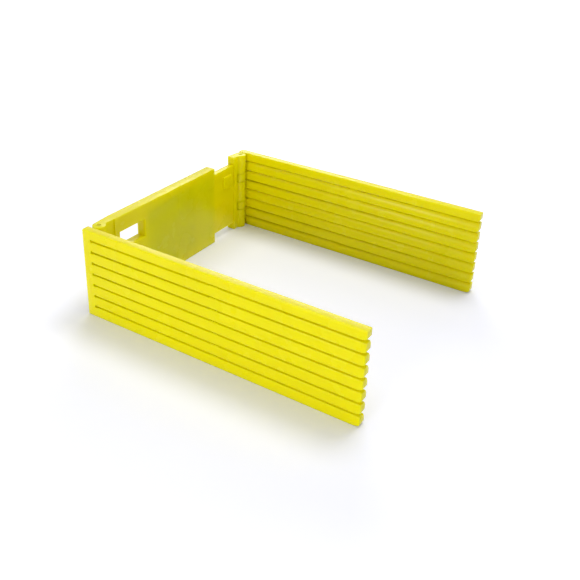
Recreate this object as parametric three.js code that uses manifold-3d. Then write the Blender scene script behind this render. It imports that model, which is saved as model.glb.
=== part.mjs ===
// Slicing guide of moulded lime plastic: two combed wings hinged to a back panel that telescopes sideways.
// Millimetres, +Z up, the back at +Y. The origin is below the middle of the outline, on the table.
// Sizes are counted from the outer faces, the rear face and the table, and the two halves mirror each other.
import * as THREE from "three";
import { mergeVertices } from "three/addons/utils/BufferGeometryUtils.js";
import Module from "manifold-3d";

const wasm = await Module();
wasm.setup();

// Overall sizes.
const overallWidth = 222;
const overallLength = 252;
const overallHeight = 78;

// Wings: flat combs, a spine at the rear and slots that run out through the tips.
const wingThickness = 7.3;
const wingSetback = 3.4;
const slotCount = 7;
const lowestSlot = 9.6;
const topSlat = 8.4;
const slotOpening = 1.5;
const spineLength = 8.8;
const reliefRadius = 1.3;
const ledgeDrop = 3;
const ledgeDepth = 1.8;
const ledgeSetback = 2;
const mouthLength = 6;
const mouthRise = 1.6;
const toeLength = 7;
const toeRise = 2;
const topRound = 1;
const nubRear = 128.2;
const nubLength = 7.5;
const nubRise = 0.6;

// Hinges: round barrels inside both rear corners, with the wings' knuckles between their lengths.
const axisFromWing = 6;
const axisFromRear = 6.6;
const barrelRadius = 5.5;
const knuckleHeight = 8.1;
const lowKnuckle = 20;
const highKnuckleDown = 19.6;
const webWidth = 6.4;
const pinRadius = 1.5;
const pinSink = 0.6;

// Back: a sleeve on the near half, and a slider whose tongue runs inside it.
const backThickness = 9.2;
const blockStep = 1;
const sleeveBlockReach = 14.7;
const sliderBlockReach = 11;
const shownTongue = 34.7;
const windowFromBlock = 5.3;
const windowLength = 30.9;
const windowDown = 14;
const windowHeight = 16.4;
const hollowWall = 5;
const hollowEndRoom = 11;
const railHeight = 7.7;
const tongueThickness = 5.4;
const headLength = 6;
const headThickness = 6.4;
const outwardTravel = 30;
const lugLength = 12;
const lugFromBlock = 6.7;
const lugDown = 15;
const lugHeight = 13;
const lugBevel = 1.2;

// Room between pieces, room left for turning, and the overrun of cuts and joins.
const clearance = 0.3;
const overrun = 2;
const overlap = 0.5;

// Counts of facets.
const roundSegments = 40;
const curveSegments = 5;

const rearFace = overallLength / 2;
const tipFace = -overallLength / 2;
const backMiddle = rearFace - backThickness / 2;
const axisX = overallWidth / 2 - wingThickness - axisFromWing;
const axisY = rearFace - axisFromRear;
const wingRear = rearFace - wingSetback;
const slotPitch = (overallHeight - topSlat - lowestSlot) / (slotCount - 1);
const knuckles = [lowKnuckle, overallHeight - highKnuckleDown - knuckleHeight];
const tongueLevels = [railHeight, overallHeight - railHeight];
const sleeveEnd = axisX - sliderBlockReach - shownTongue;
const inwardTravel = shownTongue - lugFromBlock - lugLength - clearance;

// Solids from three.js geometry, joined and cut.
function solid(geometry) {
  geometry.deleteAttribute("normal");
  geometry.deleteAttribute("uv");
  const merged = mergeVertices(geometry);
  return new wasm.Manifold(
    new wasm.Mesh({
      numProp: 3,
      vertProperties: new Float32Array(merged.attributes.position.array),
      triVerts: new Uint32Array(merged.index.array),
    }),
  );
}

function slab(xs, ys, zs) {
  const low = [xs, ys, zs].map((ends) => Math.min(...ends));
  const size = [xs, ys, zs].map((ends) => Math.max(...ends) - Math.min(...ends));
  const geometry = new THREE.BoxGeometry(...size);
  geometry.translate(...size.map((length, i) => low[i] + length / 2));
  return solid(geometry);
}

function upright(radius, x, y, zs) {
  const height = zs[1] - zs[0];
  const geometry = new THREE.CylinderGeometry(radius, radius, height, roundSegments);
  geometry.rotateX(Math.PI / 2);
  geometry.translate(x, y, zs[0] + height / 2);
  return solid(geometry);
}

// A side outline in Y and Z, drawn out across X.
function acrossX(shape, xs) {
  const low = Math.min(...xs);
  const depth = Math.max(...xs) - low;
  const geometry = new THREE.ExtrudeGeometry(shape, { depth, bevelEnabled: false, curveSegments });
  const toSide = new THREE.Matrix4().makeBasis(
    new THREE.Vector3(0, 1, 0),
    new THREE.Vector3(0, 0, 1),
    new THREE.Vector3(1, 0, 0),
  );
  geometry.applyMatrix4(toSide);
  geometry.translate(low, 0, 0);
  return solid(geometry);
}

// A cross-section in X and Z, drawn out from one Y forward to another.
function alongY(shape, ys) {
  const high = Math.max(...ys);
  const depth = high - Math.min(...ys);
  const geometry = new THREE.ExtrudeGeometry(shape, { depth, bevelEnabled: false, curveSegments });
  geometry.rotateX(Math.PI / 2);
  geometry.translate(0, high, 0);
  return solid(geometry);
}

// A plan in X and -Y, drawn up from the table to the top.
function upwards(shape) {
  const extent = { depth: overallHeight, bevelEnabled: false, curveSegments };
  const geometry = new THREE.ExtrudeGeometry(shape, extent);
  geometry.rotateX(Math.PI);
  geometry.translate(0, 0, overallHeight);
  return solid(geometry);
}

function outline(points) {
  return new THREE.Shape(points.map(([a, b]) => new THREE.Vector2(a, b)));
}

function joined(pieces) {
  return pieces.reduce((all, piece) => all.add(piece));
}

function cut(body, tools) {
  return tools.reduce((rest, tool) => rest.subtract(tool), body);
}

function slotLevels() {
  return Array.from({ length: slotCount }, (_, i) => lowestSlot + i * slotPitch);
}

// One wing's upright panel, with both long top edges rounded.
function wingPanel(outer, inner) {
  const inward = Math.sign(inner - outer);
  const section = new THREE.Shape();
  section.moveTo(outer, 0);
  section.lineTo(inner, 0);
  section.lineTo(inner, overallHeight - topRound);
  section.quadraticCurveTo(inner, overallHeight, inner - inward * topRound, overallHeight);
  section.lineTo(outer + inward * topRound, overallHeight);
  section.quadraticCurveTo(outer, overallHeight, outer, overallHeight - topRound);
  return alongY(section, [tipFace, wingRear]);
}

// A slot, straight up to its mouth, where the underside of the slat above curves up.
function slotCut(level, acrossWing) {
  const low = level - slotOpening / 2;
  const high = level + slotOpening / 2;
  const rear = wingRear - spineLength;
  const mouth = tipFace + mouthLength;
  const shape = new THREE.Shape();
  shape.moveTo(rear, low);
  shape.lineTo(rear, high);
  shape.lineTo(mouth, high);
  shape.quadraticCurveTo(tipFace + mouthLength / 4, high, tipFace, high + mouthRise);
  shape.lineTo(tipFace - overrun, high + mouthRise);
  shape.lineTo(tipFace - overrun, low);
  return acrossX(shape, acrossWing);
}

// The relief hole at a slot's rear end.
function reliefHole(level, acrossWing) {
  const shape = new THREE.Shape();
  shape.absarc(wingRear - spineLength, level, reliefRadius, 0, 2 * Math.PI);
  return acrossX(shape, acrossWing);
}

// The ledge on the inner side below a slot: a slope from the slot's floor down to the inner face.
function ledgeCut(level, inner, outward) {
  const floor = level - slotOpening / 2;
  const slope = (ledgeDepth * overlap) / ledgeDrop;
  const section = outline([
    [inner + outward * ledgeDepth, floor],
    [inner - outward * slope, floor - ledgeDrop - overlap],
    [inner - outward * overrun, floor - ledgeDrop - overlap],
    [inner - outward * overrun, level],
    [inner + outward * ledgeDepth, level],
  ]);
  return alongY(section, [tipFace - overrun, wingRear - spineLength - ledgeSetback]);
}

// The cut under the lowest slat's tip.
function toeCut(acrossWing) {
  const shape = new THREE.Shape();
  shape.moveTo(tipFace + toeLength, 0);
  shape.quadraticCurveTo(tipFace + toeLength / 4, 0, tipFace, toeRise);
  shape.lineTo(tipFace - overrun, toeRise);
  shape.lineTo(tipFace - overrun, -overrun);
  shape.lineTo(tipFace + toeLength, -overrun);
  return acrossX(shape, acrossWing);
}

// A spacer nub on a slot's floor, halfway along the wing.
function nub(level, outer, inner, outward) {
  const floor = level - slotOpening / 2;
  const middle = wingRear - nubRear;
  return slab(
    [outer, inner + outward * ledgeDepth],
    [middle - nubLength / 2, middle + nubLength / 2],
    [floor - overlap, floor + nubRise],
  );
}

// A round knuckle about the hinge axis, carried by a web from the wing's inner face.
function knuckle(level, inner, outward) {
  const span = [level, level + knuckleHeight];
  const web = slab(
    [inner + outward * overlap, inner - outward * axisFromWing],
    [axisY - webWidth / 2, axisY + webWidth / 2],
    span,
  );
  return upright(barrelRadius, outward * axisX, axisY, span).add(web);
}

function pinHole(outward) {
  return upright(pinRadius + clearance, outward * axisX, axisY, [-overrun, overallHeight + overrun]);
}

// A wing: outward is -1 on the near side and 1 on the far side.
function wing(outward) {
  const outer = (outward * overallWidth) / 2;
  const inner = outer - outward * wingThickness;
  const acrossWing = [outer + outward * overrun, inner - outward * overrun];
  const comb = cut(wingPanel(outer, inner), [
    ...slotLevels().map((level) => slotCut(level, acrossWing)),
    ...slotLevels().map((level) => reliefHole(level, acrossWing)),
    ...slotLevels().map((level) => ledgeCut(level, inner, outward)),
    toeCut(acrossWing),
  ]);
  const fitted = joined([
    comb,
    ...slotLevels().map((level) => nub(level, outer, inner, outward)),
    ...knuckles.map((level) => knuckle(level, inner, outward)),
  ]);
  return fitted.subtract(pinHole(outward));
}

// The end of a back half: a barrel and a block that thickens towards the back's rear face,
// cleared round the wing's knuckles.
function hingeEnd(outward, reach) {
  const axis = outward * axisX;
  const end = axis - outward * reach;
  const inner = rearFace - backThickness + blockStep;
  const plan = outline([
    [axis, -inner],
    [axis, -axisY - barrelRadius],
    [end, -rearFace],
    [end - outward * overlap, -rearFace],
    [end - outward * overlap, -inner],
  ]);
  const block = upwards(plan);
  const barrel = upright(barrelRadius, axis, axisY, [0, overallHeight]);
  const sweep = Math.hypot(webWidth / 2, axisFromWing) + clearance;
  const rooms = knuckles.map((level) =>
    upright(sweep, axis, axisY, [level - clearance, level + knuckleHeight + clearance]),
  );
  return cut(block.add(barrel), [...rooms, pinHole(outward)]);
}

// Where the sleeve's hollow ends, past the window, and where the tongue ends inside it.
function hollowStart() {
  return sleeveStart() + windowFromBlock + windowLength + hollowWall;
}

function tongueEnd() {
  return hollowStart() + inwardTravel + hollowEndRoom;
}

function sleeveStart() {
  return -axisX + sleeveBlockReach;
}

// The hollow of the sleeve, wider inside than at its mouth, so that the tongue's head is held.
function sleeveHollow() {
  const lip = tongueEnd() + headLength + outwardTravel + clearance;
  const levels = [tongueLevels[0] - clearance, tongueLevels[1] + clearance];
  const wide = headThickness / 2 + clearance;
  const narrow = tongueThickness / 2 + clearance;
  return slab([hollowStart(), lip], [backMiddle - wide, backMiddle + wide], levels).add(
    slab([lip - overlap, sleeveEnd + overrun], [backMiddle - narrow, backMiddle + narrow], levels),
  );
}

function backSleeve() {
  const start = sleeveStart();
  const panel = slab([start, sleeveEnd], [rearFace - backThickness, rearFace], [0, overallHeight]);
  const lintel = overallHeight - windowDown;
  const opening = slab(
    [start + windowFromBlock, start + windowFromBlock + windowLength],
    [rearFace - backThickness - overrun, rearFace + overrun],
    [lintel - windowHeight, lintel],
  );
  return cut(panel, [sleeveHollow(), opening]).add(hingeEnd(-1, sleeveBlockReach));
}

// The catch on the tongue's inner face, which meets the sleeve at the narrowest setting.
function lug() {
  const front = axisX - sliderBlockReach - lugFromBlock;
  const face = backMiddle - tongueThickness / 2;
  const proud = rearFace - backThickness;
  const top = overallHeight - lugDown;
  const sill = top - lugHeight;
  const section = outline([
    [face + overlap, sill],
    [face + overlap, top],
    [proud + lugBevel, top],
    [proud, top - lugBevel],
    [proud, sill + lugBevel],
    [proud + lugBevel, sill],
  ]);
  return acrossX(section, [front - lugLength, front]);
}

function backSlider() {
  const block = axisX - sliderBlockReach;
  const inside = tongueEnd();
  const half = tongueThickness / 2;
  const tongue = slab(
    [inside, block + overlap],
    [backMiddle - half, backMiddle + half],
    tongueLevels,
  );
  const head = slab(
    [inside, inside + headLength],
    [backMiddle - headThickness / 2, backMiddle + headThickness / 2],
    tongueLevels,
  );
  return joined([tongue, head, lug(), hingeEnd(1, sliderBlockReach)]);
}

function hingePin(outward) {
  return upright(pinRadius, outward * axisX, axisY, [pinSink, overallHeight - pinSink]);
}

// Materials.
function limePlastic(color, roughness) {
  return new THREE.MeshStandardMaterial({ color, roughness, metalness: 0 });
}

function wingPlastic() {
  return limePlastic(0xe6e00c, 0.22);
}

function backPlastic() {
  return limePlastic(0xd9d208, 0.24);
}

function pinPlastic() {
  return limePlastic(0xb7b00a, 0.3);
}

function mesh(name, body, material) {
  const made = body.getMesh();
  const geometry = new THREE.BufferGeometry();
  geometry.setAttribute("position", new THREE.BufferAttribute(made.vertProperties, made.numProp));
  geometry.setIndex(new THREE.BufferAttribute(made.triVerts, 1));
  geometry.computeVertexNormals();
  const piece = new THREE.Mesh(geometry, material);
  piece.name = name;
  return piece;
}

const guide = new THREE.Group();
guide.add(mesh("back_sleeve", backSleeve(), backPlastic()));
guide.add(mesh("back_slider", backSlider(), backPlastic()));
guide.add(mesh("near_wing", wing(-1), wingPlastic()));
guide.add(mesh("far_wing", wing(1), wingPlastic()));
guide.add(mesh("near_hinge_pin", hingePin(-1), pinPlastic()));
guide.add(mesh("far_hinge_pin", hingePin(1), pinPlastic()));

export default guide;
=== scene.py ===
"""Slicing guide: two combed wings hinged to a back that telescopes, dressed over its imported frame.

Metres, +Z up, wing tips at -Y. The near wing is at -X.
"""

import math

import bmesh
import bpy
from mathutils import Matrix, Vector


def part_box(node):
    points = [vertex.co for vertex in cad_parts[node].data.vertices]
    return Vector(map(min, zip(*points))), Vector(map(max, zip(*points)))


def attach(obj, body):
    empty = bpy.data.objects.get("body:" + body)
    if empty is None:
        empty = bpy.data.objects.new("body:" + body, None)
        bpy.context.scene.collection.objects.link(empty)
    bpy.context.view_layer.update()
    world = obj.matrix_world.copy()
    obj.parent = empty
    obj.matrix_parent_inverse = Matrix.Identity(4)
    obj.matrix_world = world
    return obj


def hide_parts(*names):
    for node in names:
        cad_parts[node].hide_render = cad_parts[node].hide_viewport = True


bl_info = {
    "name": "Slicing Guide",
    "version": (1, 0, 0),
    "blender": (4, 5, 0),
    "location": "3D View > Sidebar > Guide",
    "description": "Models a slicing guide over its frame, with its materials and stage",
    "category": "Object",
}

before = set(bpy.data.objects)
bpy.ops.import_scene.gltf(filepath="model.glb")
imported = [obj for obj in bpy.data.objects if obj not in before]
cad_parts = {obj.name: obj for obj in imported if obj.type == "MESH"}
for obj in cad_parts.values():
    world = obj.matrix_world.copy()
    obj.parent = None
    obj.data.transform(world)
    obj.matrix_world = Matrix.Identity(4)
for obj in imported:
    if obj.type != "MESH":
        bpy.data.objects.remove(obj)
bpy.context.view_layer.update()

MM = 0.001
NEAR = -1
FAR = 1
WHITE = (1, 1, 1, 1)

# Overall sizes come from the frame.
WING_LOW, WING_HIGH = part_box("near_wing")
BACK_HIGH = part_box("back_sleeve")[1]
HALF_WIDTH = -WING_LOW[0]
TIP = WING_LOW[1]
WING_REAR = WING_HIGH[1]
REAR = BACK_HIGH[1]
TOP = WING_HIGH[2]

# Combs.
SLOT_COUNT = 7
SLOT_PITCH = 10 * MM
LOWEST_SLOT = 9.6 * MM
SPINE_LENGTH = 8.8 * MM
RELIEF_RADIUS = 1.3 * MM
LEDGE_SETBACK = 2 * MM
MOUTH_LENGTH = 6 * MM
MOUTH_RISE = 1.6 * MM
TOE_LENGTH = 7 * MM
TOE_RISE = 2 * MM
TIP_CUTS = (0.16, 0.4, 0.64, 0.88)
TIP_BEND_SHARE = 0.25
NUB_REAR = 128.2 * MM
NUB_LENGTH = 7.5 * MM
NUB_RISE = 0.6 * MM

# How far the cuts in a spine reach, in shares of its faces' distances from the middle.
OUTER_CUT_SHARE = 1.1
INNER_CUT_SHARE = 0.9

# Hinges.
AXIS_FROM_WING = 6 * MM
AXIS_FROM_REAR = 6.6 * MM
AXIS_Y = REAR - AXIS_FROM_REAR
BARREL_RADIUS = 5.5 * MM
KNUCKLE_HEIGHT = 8.1 * MM
KNUCKLES = (20 * MM, 50.3 * MM)
WEB_WIDTH = 6.4 * MM
PIN_RADIUS = 1.5 * MM
PIN_SIDES = 40
PIN_SINK = 0.6 * MM
PIN_RIM = 0.6 * MM
PIN_DISH = 0.3 * MM

# Back.
BACK_THICKNESS = 9.2 * MM
BACK_INNER = REAR - BACK_THICKNESS
BACK_MIDDLE = REAR - BACK_THICKNESS / 2
BLOCK_STEP = 1 * MM
SLEEVE_BLOCK_REACH = 14.7 * MM
SLIDER_BLOCK_REACH = 11 * MM
SHOWN_TONGUE = 34.7 * MM
WINDOW_FROM_BLOCK = 5.3 * MM
WINDOW_LENGTH = 30.9 * MM
WINDOW_SILL = 47.6 * MM
WINDOW_HEIGHT = 16.4 * MM
HOLLOW_WALL = 5 * MM
HOLLOW_END_ROOM = 11 * MM
RAIL_HEIGHT = 7.7 * MM
TONGUE_THICKNESS = 5.4 * MM
HEAD_LENGTH = 6 * MM
HEAD_THICKNESS = 6.4 * MM
OUTWARD_TRAVEL = 30 * MM
LUG_LENGTH = 12 * MM
LUG_FROM_BLOCK = 6.7 * MM
LUG_SILL = 50 * MM
LUG_HEIGHT = 13 * MM
LUG_BEVEL = 1.2 * MM

# Fits and modelling.
CLEARANCE = 0.3 * MM
OVERRUN = 2 * MM
LAP = 0.6 * MM
TOUCH = 0.01 * MM
SMOOTH_ANGLE = math.radians(32)
SHARP_ANGLE = math.radians(34)

# The least upright share of the normal of a level face.
LEVEL_FACE = 0.9

# Plastic. A noise scale counts waves to the metre.
WING_FLOW_SCALE = 14
BACK_FLOW_SCALE = 18
PIN_FLOW_SCALE = 60
PIN_DEEP_SHARE = 0.85
FLOW_DETAIL = 3
FLOW_ROUGHNESS = 0.55
FLOW_BAND = (0.3, 0.62)
SMEAR_SCALE = 40
SMEAR_DETAIL = 4
SMEAR_BAND = (0.3, 0.7)
SMEAR_LOSS = 0.02
SMEAR_GAIN = 0.03
PEEL_SCALE = 420
PEEL_DETAIL = 2
PEEL_STRENGTH = 0.05
PEEL_HEIGHT = 0.02 * MM
SCATTER_WEIGHT = 0.9
SCATTER_RADIUS = (1, 0.9, 0.1)
SCATTER_DEPTH = 4 * MM
REFRACTION = 1.46
SPECULAR_LEVEL = 0.2

# Camera, as the photograph sees the guide.
CAMERA_LENS = 48.55
CAMERA_SENSOR = 36
CAMERA_SHIFT = -0.12931
CAMERA_NEAREST = 0.01
CAMERA_PLACE = (-0.498519, -0.295165, 0.358163)
CAMERA_TURN = (
    (0.525257, 0.3486932, -0.7762204),
    (-0.8501834, 0.2535923, -0.4613882),
    (0.0359606, 0.9022771, 0.4296544),
)

# Lights, which all point at the middle of the guide.
LIGHT_TARGET = (0, 0, 0.03)
SIDE_LIGHT_PLACE = (-1.3, 0, 0.22)
SIDE_LIGHT_SIZE = 0.5
FRONT_LIGHT_PLACE = (-0.35, -1.3, 0.4)
FRONT_LIGHT_SIZE = 0.7
TOP_LIGHT_PLACE = (0.4, -0.14, 1.32)
TOP_LIGHT_SIZE = 0.5
RIM_LIGHT_PLACE = (0.98, 0.66, 0.77)
RIM_LIGHT_SIZE = 0.75

# Floor. Its glow is weak up to GLOW_START from the middle and full from GLOW_FULL on.
# The painted shade's reach is how far off a piece darkens the glow beside it, as painted contact
# shade at its foot, and its exponent is how strongly.
FLOOR_GLOW = 0.27
GLOW_START = 0.22
GLOW_FULL = 0.6
GLOW_TINT = (1, 1, 1.05, 1)
PAINTED_SHADE_REACH = 45 * MM
PAINTED_SHADE_EXPONENT = 1.7


class GuideSizes(bpy.types.PropertyGroup):
    """Sizes that a user may change."""

    wing_thickness: bpy.props.FloatProperty(
        name="Wing thickness",
        description="Thickness of each combed wing",
        default=7.3 * MM,
        unit="LENGTH",
    )
    slot_opening: bpy.props.FloatProperty(
        name="Slot opening",
        description="Height of each blade slot",
        default=1.5 * MM,
        unit="LENGTH",
    )
    ledge_drop: bpy.props.FloatProperty(
        name="Ledge drop",
        description="Height of the slope below each slot, on the inner side",
        default=3 * MM,
        unit="LENGTH",
    )
    ledge_depth: bpy.props.FloatProperty(
        name="Ledge depth",
        description="Depth of the slope below each slot, into the wing",
        default=1.8 * MM,
        unit="LENGTH",
    )
    edge_round: bpy.props.FloatProperty(
        name="Edge round",
        description="Radius on the moulded edges",
        default=0.35 * MM,
        unit="LENGTH",
    )
    top_round: bpy.props.FloatProperty(
        name="Top round",
        description="Radius on the long top edges",
        default=0.9 * MM,
        unit="LENGTH",
    )


class GuideFinish(bpy.types.PropertyGroup):
    """Colours and gloss of the plastic."""

    lime: bpy.props.FloatVectorProperty(
        name="Lime",
        description="Main colour of the moulded plastic",
        subtype="COLOR",
        size=3,
        min=0,
        max=1,
        default=(0.88, 0.8, 0.0005),
    )
    lime_deep: bpy.props.FloatVectorProperty(
        name="Deep lime",
        description="Colour of the plastic where it flowed thicker",
        subtype="COLOR",
        size=3,
        min=0,
        max=1,
        default=(0.84, 0.76, 0.0003),
    )
    pin: bpy.props.FloatVectorProperty(
        name="Pin",
        description="Colour of the hinge pins",
        subtype="COLOR",
        size=3,
        min=0,
        max=1,
        default=(0.8, 0.72, 0.0005),
    )
    roughness: bpy.props.FloatProperty(
        name="Roughness",
        description="Roughness of the polished plastic",
        subtype="FACTOR",
        min=0,
        max=1,
        default=0.26,
    )


class StageSettings(bpy.types.PropertyGroup):
    """Floor and light."""

    floor_size: bpy.props.FloatProperty(
        name="Floor size",
        description="Side of the floor",
        default=6,
        unit="LENGTH",
    )
    floor_colour: bpy.props.FloatVectorProperty(
        name="Floor",
        description="Colour of the floor",
        subtype="COLOR",
        size=3,
        min=0,
        max=1,
        default=(0.85, 0.86, 0.96),
    )
    sky_strength: bpy.props.FloatProperty(
        name="Sky strength",
        description="Strength of the even light all round",
        default=0.42,
    )
    side_power: bpy.props.FloatProperty(
        name="Side light",
        description="Power of the low soft light on the near side",
        default=6.7,
    )
    front_power: bpy.props.FloatProperty(
        name="Front light",
        description="Power of the low soft light in front of the wings' tips",
        default=1,
    )
    top_power: bpy.props.FloatProperty(
        name="Top light",
        description="Power of the soft light high above, which casts the shadows at the wings' feet",
        default=6,
    )
    rim_power: bpy.props.FloatProperty(
        name="Rim light",
        description="Power of the soft light from behind, which shines on the top edges",
        default=4.6,
    )


# Helpers for modelling.


def deselect():
    if bpy.context.mode != "OBJECT":
        bpy.ops.object.mode_set(mode="OBJECT")
    bpy.ops.object.select_all(action="DESELECT")


def only(piece):
    deselect()
    piece.select_set(True)
    bpy.context.view_layer.objects.active = piece


def place_in_mesh(name):
    """Names the new object and moves its place, turn and scale into its mesh."""
    piece = bpy.context.active_object
    piece.name = name
    piece.data.name = name
    bpy.ops.object.transform_apply(location=True, rotation=True, scale=True)
    return piece


def block(name, xs, ys, zs):
    """A box between two values on each axis, given in either order."""
    deselect()
    ends = [sorted(pair) for pair in (xs, ys, zs)]
    bpy.ops.mesh.primitive_cube_add(
        size=1,
        location=[(low + high) / 2 for low, high in ends],
        scale=[high - low for low, high in ends],
    )
    return place_in_mesh(name)


def rod(name, radius, x, zs, sides=64):
    """An upright cylinder at the hinges' distance from the rear."""
    deselect()
    bpy.ops.mesh.primitive_cylinder_add(
        vertices=sides,
        radius=radius,
        depth=zs[1] - zs[0],
        location=(x, AXIS_Y, (zs[0] + zs[1]) / 2),
    )
    return place_in_mesh(name)


def cross_rod(name, radius, xs, y, z, sides=32):
    """A cylinder that lies along X."""
    deselect()
    low, high = sorted(xs)
    bpy.ops.mesh.primitive_cylinder_add(
        vertices=sides,
        radius=radius,
        depth=high - low,
        location=((low + high) / 2, y, z),
        rotation=(0, math.pi / 2, 0),
    )
    return place_in_mesh(name)


def pick_edges(piece, test):
    """Selects, in edit mode, the sharp edges whose two ends pass the test."""
    only(piece)
    bpy.ops.object.mode_set(mode="EDIT")
    bpy.ops.mesh.select_mode(type="EDGE")
    bpy.ops.mesh.select_all(action="DESELECT")
    mesh = bmesh.from_edit_mesh(piece.data)
    for edge in mesh.edges:
        sharp = len(edge.link_faces) == 2 and edge.calc_face_angle(0) > SHARP_ANGLE
        edge.select_set(sharp and test(edge.verts[0].co, edge.verts[1].co))
    bmesh.update_edit_mesh(piece.data)


def round_edges(piece, width, test=lambda a, b: True, segments=2):
    """Rounds the sharp edges that pass the test."""
    pick_edges(piece, test)
    bpy.ops.mesh.bevel(offset=width, segments=segments, affect="EDGES", profile=0.5)
    bpy.ops.object.mode_set(mode="OBJECT")
    return piece


def slice_off(piece, point, normal):
    """Cuts the piece by a plane and keeps what lies behind it."""
    only(piece)
    bpy.ops.object.mode_set(mode="EDIT")
    bpy.ops.mesh.select_all(action="SELECT")
    bpy.ops.mesh.bisect(plane_co=point, plane_no=normal, use_fill=True, clear_outer=True)
    bpy.ops.object.mode_set(mode="OBJECT")


def gather(name, parts):
    """Makes separate closed shapes one object."""
    deselect()
    for part in parts:
        part.select_set(True)
    bpy.context.view_layer.objects.active = parts[0]
    if len(parts) > 1:
        bpy.ops.object.join()
    parts[0].name = name
    parts[0].data.name = name
    return parts[0]


def combine(piece, other, operation):
    """Joins the other shape to the piece, or cuts it away, and uses it up."""
    only(piece)
    modifier = piece.modifiers.new("combine", "BOOLEAN")
    modifier.operation = operation
    modifier.solver = "EXACT"
    modifier.object = other
    bpy.ops.object.modifier_apply(modifier=modifier.name)
    mesh = other.data
    bpy.data.objects.remove(other)
    bpy.data.meshes.remove(mesh)
    return piece


def unite(name, parts):
    whole = parts[0]
    for part in parts[1:]:
        combine(whole, part, "UNION")
    whole.name = name
    whole.data.name = name
    return whole


def cut_out(piece, cutters):
    return combine(piece, gather("cutter", cutters), "DIFFERENCE")


def mirror_copy(piece, name):
    """A copy on the other side of the guide's middle, with its faces turned outwards."""
    only(piece)
    bpy.ops.object.duplicate(linked=False)
    twin = bpy.context.active_object
    twin.scale = (-1, 1, 1)
    bpy.ops.object.transform_apply(location=False, rotation=False, scale=True)
    twin.name = name
    twin.data.name = name
    tidy_surface(twin)
    return twin


def tidy_surface(piece):
    """Merges doubled points and turns all faces outwards."""
    only(piece)
    bpy.ops.object.mode_set(mode="EDIT")
    bpy.ops.mesh.select_all(action="SELECT")
    bpy.ops.mesh.remove_doubles(threshold=TOUCH / 10)
    bpy.ops.mesh.normals_make_consistent(inside=False)
    bpy.ops.object.mode_set(mode="OBJECT")


def dress(piece, body, node, material):
    """Finishes a piece and puts it in the place of its node, on its body."""
    tidy_surface(piece)
    only(piece)
    bpy.ops.object.shade_smooth_by_angle(angle=SMOOTH_ANGLE)
    piece.data.materials.clear()
    piece.data.materials.append(material)
    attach(piece, body)
    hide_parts(node)


# Materials.


def noise(nodes, links, place, scale, detail):
    """A noise texture on the piece's own coordinates."""
    texture = nodes.new("ShaderNodeTexNoise")
    texture.inputs["Scale"].default_value = scale
    texture.inputs["Detail"].default_value = detail
    links.new(place.outputs["Object"], texture.inputs["Vector"])
    return texture


def moulded_plastic(name, colour, deep, roughness, flow_scale):
    """Polished, slightly translucent plastic with faint flow marks and a fine orange peel."""
    material = bpy.data.materials.new(name)
    material.use_nodes = True
    nodes = material.node_tree.nodes
    links = material.node_tree.links
    shader = nodes["Principled BSDF"]
    place = nodes.new("ShaderNodeTexCoord")
    flow = noise(nodes, links, place, flow_scale, FLOW_DETAIL)
    flow.inputs["Roughness"].default_value = FLOW_ROUGHNESS
    tint = nodes.new("ShaderNodeValToRGB")
    for stop, level, shade in zip(tint.color_ramp.elements, FLOW_BAND, (deep, colour)):
        stop.position = level
        stop.color = (*shade, 1)
    links.new(flow.outputs["Fac"], tint.inputs["Fac"])
    links.new(tint.outputs["Color"], shader.inputs["Base Color"])
    smear = noise(nodes, links, place, SMEAR_SCALE, SMEAR_DETAIL)
    gloss = nodes.new("ShaderNodeMapRange")
    gloss.inputs["From Min"].default_value = SMEAR_BAND[0]
    gloss.inputs["From Max"].default_value = SMEAR_BAND[1]
    gloss.inputs["To Min"].default_value = roughness - SMEAR_LOSS
    gloss.inputs["To Max"].default_value = roughness + SMEAR_GAIN
    links.new(smear.outputs["Fac"], gloss.inputs["Value"])
    links.new(gloss.outputs["Result"], shader.inputs["Roughness"])
    peel = noise(nodes, links, place, PEEL_SCALE, PEEL_DETAIL)
    bump = nodes.new("ShaderNodeBump")
    bump.inputs["Strength"].default_value = PEEL_STRENGTH
    bump.inputs["Distance"].default_value = PEEL_HEIGHT
    links.new(peel.outputs["Fac"], bump.inputs["Height"])
    links.new(bump.outputs["Normal"], shader.inputs["Normal"])
    shader.inputs["Subsurface Weight"].default_value = SCATTER_WEIGHT
    shader.inputs["Subsurface Radius"].default_value = SCATTER_RADIUS
    shader.inputs["Subsurface Scale"].default_value = SCATTER_DEPTH
    shader.inputs["IOR"].default_value = REFRACTION
    shader.inputs["Specular IOR Level"].default_value = SPECULAR_LEVEL
    return material


def wing_plastic():
    finish = bpy.context.scene.guide_finish
    shades = (finish.lime, finish.lime_deep)
    return moulded_plastic("wing_lime", *shades, finish.roughness, WING_FLOW_SCALE)


def back_plastic():
    finish = bpy.context.scene.guide_finish
    shades = (finish.lime, finish.lime_deep)
    return moulded_plastic("back_lime", *shades, finish.roughness, BACK_FLOW_SCALE)


def pin_plastic():
    finish = bpy.context.scene.guide_finish
    deep = [share * PIN_DEEP_SHARE for share in finish.pin]
    return moulded_plastic("pin_lime", finish.pin, deep, finish.roughness, PIN_FLOW_SCALE)


# Wings.


def slot_level(number):
    return LOWEST_SLOT + number * SLOT_PITCH


def slat_span(number):
    """The lowest and highest point of a slat, counted from the table up."""
    half = bpy.context.scene.guide_sizes.slot_opening / 2
    low = slot_level(number - 1) + half if number else 0
    high = slot_level(number) - half if number < SLOT_COUNT else TOP
    return low, high


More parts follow.
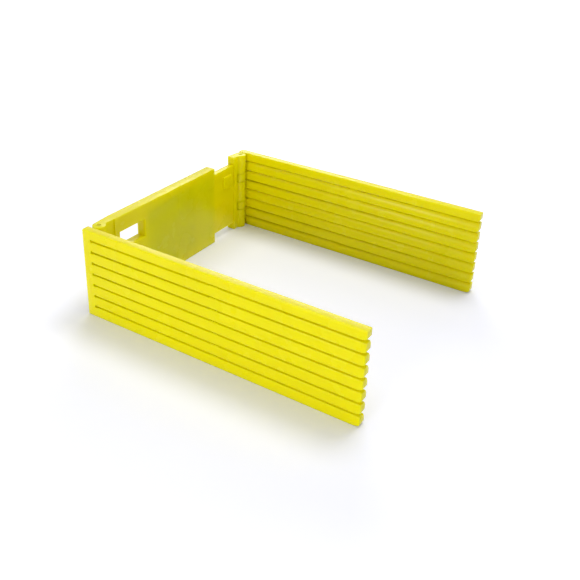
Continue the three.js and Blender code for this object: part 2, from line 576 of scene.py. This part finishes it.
def cut_tip(slat, low, length, rise):
    """Rounds the lower corner of a slat's tip by planes that touch one curve."""
    start = Vector((TIP + length, low))
    bend = Vector((TIP + length * TIP_BEND_SHARE, low))
    end = Vector((TIP, low)) + Vector((0, rise))
    for share in TIP_CUTS:
        point = start * (1 - share) ** 2 + bend * 2 * share * (1 - share) + end * share**2
        along = (bend - start) * (1 - share) + (end - bend) * share
        normal = Vector((0, along.y, -along.x)).normalized()
        if normal.z > 0:
            normal.negate()
        slice_off(slat, (0, point.x, point.y), normal)


def round_top(piece):
    """Rounds the long top edges of a wing's piece."""
    round_edges(
        piece,
        bpy.context.scene.guide_sizes.top_round,
        lambda a, b: min(a.z, b.z) > TOP - TOUCH and abs(a.x - b.x) < TOUCH,
        segments=4,
    )


def slat(name, number, outer, inner):
    """One slat: a bar with a slope along its inner top edge and a rounded lower tip."""
    sizes = bpy.context.scene.guide_sizes
    low, high = slat_span(number)
    rear = WING_REAR - SPINE_LENGTH - LEDGE_SETBACK + LAP
    piece = block(name, (outer, inner), (TIP, rear), (low, high))
    if number < SLOT_COUNT:
        inward = math.copysign(1, inner - outer)
        normal = Vector((inward * sizes.ledge_drop, 0, sizes.ledge_depth)).normalized()
        slice_off(piece, (inner - inward * sizes.ledge_depth, 0, high), normal)
    if number:
        cut_tip(piece, low, MOUTH_LENGTH, MOUTH_RISE)
    else:
        cut_tip(piece, low, TOE_LENGTH, TOE_RISE)
    if number == SLOT_COUNT:
        round_top(piece)
    round_edges(
        piece,
        sizes.edge_round,
        lambda a, b: min(a.y, b.y) < rear - TOUCH and max(a.z, b.z) < TOP - TOUCH,
    )
    return piece


def spine(name, outer, inner):
    """The solid rear end of a wing, with the slots' rear ends and relief holes cut in it."""
    sizes = bpy.context.scene.guide_sizes
    half = sizes.slot_opening / 2
    across = (outer * OUTER_CUT_SHARE, inner * INNER_CUT_SHARE)
    slot_rear = WING_REAR - SPINE_LENGTH
    front = slot_rear - LEDGE_SETBACK
    piece = block(name, (outer, inner), (front, WING_REAR), (0, TOP))
    round_top(piece)
    round_edges(
        piece,
        sizes.edge_round,
        lambda a, b: max(a.y, b.y) > WING_REAR - TOUCH and max(a.z, b.z) < TOP - TOUCH,
    )
    for number in range(SLOT_COUNT):
        level = slot_level(number)
        ends = (front - OVERRUN, slot_rear)
        cut_out(piece, [block("slot_end", across, ends, (level - half, level + half))])
        cut_out(piece, [cross_rod("relief", RELIEF_RADIUS, across, slot_rear, level)])
    return piece


def nub(number, outer, inner):
    """A low spacer on a slot's floor, with a softened top."""
    sizes = bpy.context.scene.guide_sizes
    inward = math.copysign(1, inner - outer)
    floor = slot_level(number) - sizes.slot_opening / 2
    middle = WING_REAR - NUB_REAR
    skin = sizes.edge_round
    piece = block(
        "nub",
        (outer + inward * skin, inner - inward * (sizes.ledge_depth + skin)),
        (middle - NUB_LENGTH / 2, middle + NUB_LENGTH / 2),
        (floor - LAP, floor + NUB_RISE),
    )
    return round_edges(
        piece,
        NUB_RISE / 2,
        lambda a, b: min(a.z, b.z) > floor and abs(a.y - b.y) < TOUCH,
        segments=3,
    )


def knuckle(level, side):
    """A round knuckle on the hinge axis, with the web that carries it from the wing."""
    sizes = bpy.context.scene.guide_sizes
    axis = hinge_axis(side)
    span = (level, level + KNUCKLE_HEIGHT)
    round_part = rod("knuckle", BARREL_RADIUS, axis, span)
    round_edges(round_part, sizes.edge_round)
    inner = side * (HALF_WIDTH - sizes.wing_thickness)
    web = block(
        "web",
        (inner + side * LAP, axis),
        (AXIS_Y - WEB_WIDTH / 2, AXIS_Y + WEB_WIDTH / 2),
        (level + TOUCH, level + KNUCKLE_HEIGHT - TOUCH),
    )
    return unite("knuckle", [round_part, web])


def hinge_axis(side):
    thickness = bpy.context.scene.guide_sizes.wing_thickness
    return side * (HALF_WIDTH - thickness - AXIS_FROM_WING)


def pin_hole(side):
    span = (-OVERRUN, TOP + OVERRUN)
    return rod("pin_hole", PIN_RADIUS + CLEARANCE, hinge_axis(side), span, sides=PIN_SIDES)


def wing(name, side):
    sizes = bpy.context.scene.guide_sizes
    outer = side * HALF_WIDTH
    inner = side * (HALF_WIDTH - sizes.wing_thickness)
    slats = [slat("slat", number, outer, inner) for number in range(SLOT_COUNT + 1)]
    comb = gather(name, slats)
    combine(comb, gather("nubs", [nub(n, outer, inner) for n in range(SLOT_COUNT)]), "UNION")
    whole = unite(name, [spine(name, outer, inner), comb])
    for level in KNUCKLES:
        combine(whole, knuckle(level, side), "UNION")
    return cut_out(whole, [pin_hole(side)])


# Back.


def hinge_end(side, reach):
    """A barrel and its block, cleared round the wing's knuckles."""
    sizes = bpy.context.scene.guide_sizes
    axis = hinge_axis(side)
    end = axis - side * reach
    inner = BACK_INNER + BLOCK_STEP
    body = block("hinge_block", (end - side * LAP, axis), (inner, REAR), (0, TOP))
    slope = Vector((side * (REAR - AXIS_Y - BARREL_RADIUS), reach, 0)).normalized()
    slice_off(body, (end, REAR, 0), slope)
    round_edges(body, sizes.edge_round, lambda a, b: abs(a.x - b.x) > TOUCH)
    barrel = rod("barrel", BARREL_RADIUS, axis, (0, TOP))
    round_edges(barrel, sizes.edge_round)
    combine(body, barrel, "UNION")
    sweep = math.hypot(WEB_WIDTH / 2, AXIS_FROM_WING) + CLEARANCE
    for level in KNUCKLES:
        span = (level - CLEARANCE, level + KNUCKLE_HEIGHT + CLEARANCE)
        cut_out(body, [rod("room", sweep, axis, span)])
    return cut_out(body, [pin_hole(side)])


def sleeve_start():
    return hinge_axis(NEAR) + SLEEVE_BLOCK_REACH


def sleeve_end():
    return hinge_axis(FAR) - SLIDER_BLOCK_REACH - SHOWN_TONGUE


def hollow_start():
    return sleeve_start() + WINDOW_FROM_BLOCK + WINDOW_LENGTH + HOLLOW_WALL


def tongue_end():
    """Where the tongue ends, inside the sleeve."""
    inward = SHOWN_TONGUE - LUG_FROM_BLOCK - LUG_LENGTH - CLEARANCE
    return hollow_start() + inward + HOLLOW_END_ROOM


def across_back(thickness):
    """The two faces of a layer in the middle of the back's thickness."""
    return BACK_MIDDLE - thickness / 2, BACK_MIDDLE + thickness / 2


def sleeve():
    """The half with the window, and with the hollow that takes the tongue."""
    sizes = bpy.context.scene.guide_sizes
    start = sleeve_start()
    end = sleeve_end()
    panel = block("back_panel", (start, end), (BACK_INNER, REAR), (0, TOP))
    window = block(
        "window",
        (start + WINDOW_FROM_BLOCK, start + WINDOW_FROM_BLOCK + WINDOW_LENGTH),
        (BACK_INNER - OVERRUN, REAR + OVERRUN),
        (WINDOW_SILL, WINDOW_SILL + WINDOW_HEIGHT),
    )
    cut_out(panel, [window])
    lip = tongue_end() + HEAD_LENGTH + OUTWARD_TRAVEL + CLEARANCE
    levels = (RAIL_HEIGHT - CLEARANCE, TOP - RAIL_HEIGHT + CLEARANCE)
    narrow = across_back(TONGUE_THICKNESS + 2 * CLEARANCE)
    cut_out(panel, [block("mouth", (lip - LAP, end + OVERRUN), narrow, levels)])
    round_edges(panel, sizes.edge_round)
    wide = across_back(HEAD_THICKNESS + 2 * CLEARANCE)
    cut_out(panel, [block("hollow", (hollow_start(), lip), wide, levels)])
    return unite("sleeve", [panel, hinge_end(NEAR, SLEEVE_BLOCK_REACH)])


def slider():
    """The half with the tongue, its thicker head and the lug that stops it."""
    sizes = bpy.context.scene.guide_sizes
    side_of_block = hinge_axis(FAR) - SLIDER_BLOCK_REACH
    inside = tongue_end()
    levels = (RAIL_HEIGHT, TOP - RAIL_HEIGHT)
    faces = across_back(TONGUE_THICKNESS)
    tongue = block("tongue", (inside, side_of_block + LAP), faces, levels)
    round_edges(tongue, sizes.edge_round, lambda a, b: abs(a.x - b.x) > TOUCH)
    ends = (inside, inside + HEAD_LENGTH)
    head = block("head", ends, across_back(HEAD_THICKNESS), levels)
    round_edges(head, sizes.edge_round)
    lug_end = side_of_block - LUG_FROM_BLOCK
    lug = block(
        "lug",
        (lug_end - LUG_LENGTH, lug_end),
        (BACK_INNER, faces[0] + LAP),
        (LUG_SILL, LUG_SILL + LUG_HEIGHT),
    )
    proud = BACK_INNER + TOUCH
    round_edges(
        lug,
        LUG_BEVEL,
        lambda a, b: max(a.y, b.y) < proud and abs(a.x - b.x) > TOUCH,
        segments=3,
    )
    round_edges(lug, sizes.edge_round, lambda a, b: max(a.y, b.y) < proud)
    return unite("slider", [hinge_end(FAR, SLIDER_BLOCK_REACH), tongue, head, lug])


def pin(name, side):
    """A plain pin with a small dish in each end."""
    span = (PIN_SINK, TOP - PIN_SINK)
    piece = rod(name, PIN_RADIUS, hinge_axis(side), span, sides=PIN_SIDES)
    only(piece)
    bpy.ops.object.mode_set(mode="EDIT")
    bpy.ops.mesh.select_mode(type="FACE")
    bpy.ops.mesh.select_all(action="DESELECT")
    mesh = bmesh.from_edit_mesh(piece.data)
    for face in mesh.faces:
        face.select_set(abs(face.normal.z) > LEVEL_FACE)
    bmesh.update_edit_mesh(piece.data)
    bpy.ops.mesh.inset(thickness=PIN_RIM, depth=-PIN_DISH, use_individual=True)
    bpy.ops.object.mode_set(mode="OBJECT")
    return round_edges(piece, PIN_DISH / 2)


class GUIDE_OT_wings(bpy.types.Operator):
    """Model both combed wings"""

    bl_idname = "guide.add_wings"
    bl_label = "Wings"

    def execute(self, context):
        plastic = wing_plastic()
        near = wing("near_comb", NEAR)
        far = mirror_copy(near, "far_comb")
        dress(near, "near_side", "near_wing", plastic)
        dress(far, "far_side", "far_wing", plastic)
        return {"FINISHED"}


class GUIDE_OT_back(bpy.types.Operator):
    """Model the back's sleeve and slider"""

    bl_idname = "guide.add_back"
    bl_label = "Back"

    def execute(self, context):
        plastic = back_plastic()
        dress(sleeve(), "sleeve_half", "back_sleeve", plastic)
        dress(slider(), "slider_half", "back_slider", plastic)
        return {"FINISHED"}


class GUIDE_OT_pins(bpy.types.Operator):
    """Model the two hinge pins"""

    bl_idname = "guide.add_pins"
    bl_label = "Hinge pins"

    def execute(self, context):
        plastic = pin_plastic()
        near = pin("near_pin", NEAR)
        far = pin("far_pin", FAR)
        dress(near, "sleeve_half", "near_hinge_pin", plastic)
        dress(far, "slider_half", "far_hinge_pin", plastic)
        return {"FINISHED"}


# Stage.


def maths(nodes, links, operation, first, second):
    """The result of a Math node on two sockets."""
    step = nodes.new("ShaderNodeMath")
    step.operation = operation
    links.new(first, step.inputs[0])
    links.new(second, step.inputs[1])
    return step.outputs["Value"]


def seen_directly(nodes, links):
    """1 for rays from the camera, and for those that gloss or clear plastic sends on."""
    rays = nodes.new("ShaderNodeLightPath").outputs
    seen = maths(nodes, links, "MAXIMUM", rays["Is Camera Ray"], rays["Is Glossy Ray"])
    return maths(nodes, links, "MAXIMUM", seen, rays["Is Transmission Ray"])


def floor_material(colour):
    """A pale matt floor, whose glow to the eye is full far off and is darkened at the foot of a
    piece by painted contact shade.
    """
    material = bpy.data.materials.new("pale_floor")
    material.use_nodes = True
    nodes = material.node_tree.nodes
    links = material.node_tree.links
    nodes.clear()
    output = nodes.new("ShaderNodeOutputMaterial")
    matt = nodes.new("ShaderNodeBsdfDiffuse")
    matt.inputs["Color"].default_value = (*colour, 1)
    place = nodes.new("ShaderNodeTexCoord")
    distance = nodes.new("ShaderNodeVectorMath")
    distance.operation = "LENGTH"
    links.new(place.outputs["Object"], distance.inputs[0])
    rise = nodes.new("ShaderNodeMapRange")
    rise.interpolation_type = "SMOOTHSTEP"
    rise.inputs["From Min"].default_value = GLOW_START
    rise.inputs["From Max"].default_value = GLOW_FULL
    rise.inputs["To Min"].default_value = FLOOR_GLOW
    rise.inputs["To Max"].default_value = 1
    links.new(distance.outputs["Value"], rise.inputs["Value"])
    open_glow = maths(nodes, links, "MULTIPLY", seen_directly(nodes, links), rise.outputs["Result"])
    # Painted contact shade: ambient occlusion darkens the floor's glow where a piece stands close.
    shade_occlusion = nodes.new("ShaderNodeAmbientOcclusion")
    shade_occlusion.inputs["Distance"].default_value = PAINTED_SHADE_REACH
    painted_shade = nodes.new("ShaderNodeMath")
    painted_shade.operation = "POWER"
    painted_shade.inputs[1].default_value = PAINTED_SHADE_EXPONENT
    links.new(shade_occlusion.outputs["AO"], painted_shade.inputs[0])
    glow = nodes.new("ShaderNodeEmission")
    glow.inputs["Color"].default_value = GLOW_TINT
    glow_with_painted_shade = maths(nodes, links, "MULTIPLY", open_glow, painted_shade.outputs["Value"])
    links.new(glow_with_painted_shade, glow.inputs["Strength"])
    both = nodes.new("ShaderNodeAddShader")
    links.new(matt.outputs["BSDF"], both.inputs[0])
    links.new(glow.outputs["Emission"], both.inputs[1])
    links.new(both.outputs["Shader"], output.inputs["Surface"])
    return material


def white_world(strength):
    """Even light, with a white backdrop."""
    world = bpy.data.worlds.new("studio")
    world.use_nodes = True
    nodes = world.node_tree.nodes
    links = world.node_tree.links
    nodes.clear()
    output = nodes.new("ShaderNodeOutputWorld")
    sky = nodes.new("ShaderNodeBackground")
    sky.inputs["Color"].default_value = WHITE
    sky.inputs["Strength"].default_value = strength
    backdrop = nodes.new("ShaderNodeBackground")
    backdrop.inputs["Color"].default_value = WHITE
    mix = nodes.new("ShaderNodeMixShader")
    links.new(seen_directly(nodes, links), mix.inputs["Fac"])
    links.new(sky.outputs["Background"], mix.inputs[1])
    links.new(backdrop.outputs["Background"], mix.inputs[2])
    links.new(mix.outputs["Shader"], output.inputs["Surface"])
    bpy.context.scene.world = world


def soft_light(name, place, size, power):
    deselect()
    bpy.ops.object.light_add(type="AREA", location=place)
    lamp = bpy.context.active_object
    lamp.name = name
    lamp.data.shape = "DISK"
    lamp.data.size = size
    lamp.data.energy = power
    aim = Vector(LIGHT_TARGET) - Vector(place)
    lamp.rotation_euler = aim.to_track_quat("-Z", "Y").to_euler()


def camera():
    deselect()
    bpy.ops.object.camera_add()
    view = bpy.context.active_object
    view.name = "photo_view"
    view.data.lens = CAMERA_LENS
    view.data.sensor_width = CAMERA_SENSOR
    view.data.sensor_fit = "HORIZONTAL"
    view.data.shift_y = CAMERA_SHIFT
    view.data.clip_start = CAMERA_NEAREST
    turn = Matrix(CAMERA_TURN).to_4x4()
    view.matrix_world = Matrix.Translation(CAMERA_PLACE) @ turn
    bpy.context.scene.camera = view


class GUIDE_OT_stage(bpy.types.Operator):
    """Set the floor, the light and the camera"""

    bl_idname = "guide.add_stage"
    bl_label = "Stage"

    def execute(self, context):
        settings = context.scene.guide_stage
        deselect()
        bpy.ops.mesh.primitive_plane_add(size=settings.floor_size)
        ground = place_in_mesh("floor")
        ground.data.materials.append(floor_material(settings.floor_colour))
        white_world(settings.sky_strength)
        soft_light("side_light", SIDE_LIGHT_PLACE, SIDE_LIGHT_SIZE, settings.side_power)
        soft_light("front_light", FRONT_LIGHT_PLACE, FRONT_LIGHT_SIZE, settings.front_power)
        soft_light("top_light", TOP_LIGHT_PLACE, TOP_LIGHT_SIZE, settings.top_power)
        soft_light("rim_light", RIM_LIGHT_PLACE, RIM_LIGHT_SIZE, settings.rim_power)
        camera()
        context.scene.view_settings.view_transform = "Standard"
        return {"FINISHED"}


class GUIDE_PT_panel(bpy.types.Panel):
    """Steps that build the guide"""

    bl_idname = "GUIDE_PT_panel"
    bl_label = "Slicing Guide"
    bl_space_type = "VIEW_3D"
    bl_region_type = "UI"
    bl_category = "Guide"

    def draw(self, context):
        for step in STEPS:
            self.layout.operator(step.bl_idname)
        for group in ("guide_sizes", "guide_finish", "guide_stage"):
            box = self.layout.box()
            settings = getattr(context.scene, group)
            for name in settings.bl_rna.properties.keys():
                if name not in ("rna_type", "name"):
                    box.prop(settings, name)


GROUPS = (GuideSizes, GuideFinish, StageSettings)
STEPS = (GUIDE_OT_wings, GUIDE_OT_back, GUIDE_OT_pins, GUIDE_OT_stage)


def register():
    for item in (*GROUPS, *STEPS, GUIDE_PT_panel):
        bpy.utils.register_class(item)
    bpy.types.Scene.guide_sizes = bpy.props.PointerProperty(type=GuideSizes)
    bpy.types.Scene.guide_finish = bpy.props.PointerProperty(type=GuideFinish)
    bpy.types.Scene.guide_stage = bpy.props.PointerProperty(type=StageSettings)


def unregister():
    del bpy.types.Scene.guide_stage
    del bpy.types.Scene.guide_finish
    del bpy.types.Scene.guide_sizes
    for item in reversed((*GROUPS, *STEPS, GUIDE_PT_panel)):
        bpy.utils.unregister_class(item)


def main():
    register()
    bpy.ops.guide.add_wings()
    bpy.ops.guide.add_back()
    bpy.ops.guide.add_pins()
    bpy.ops.guide.add_stage()


if __name__ == "__main__":
    main()
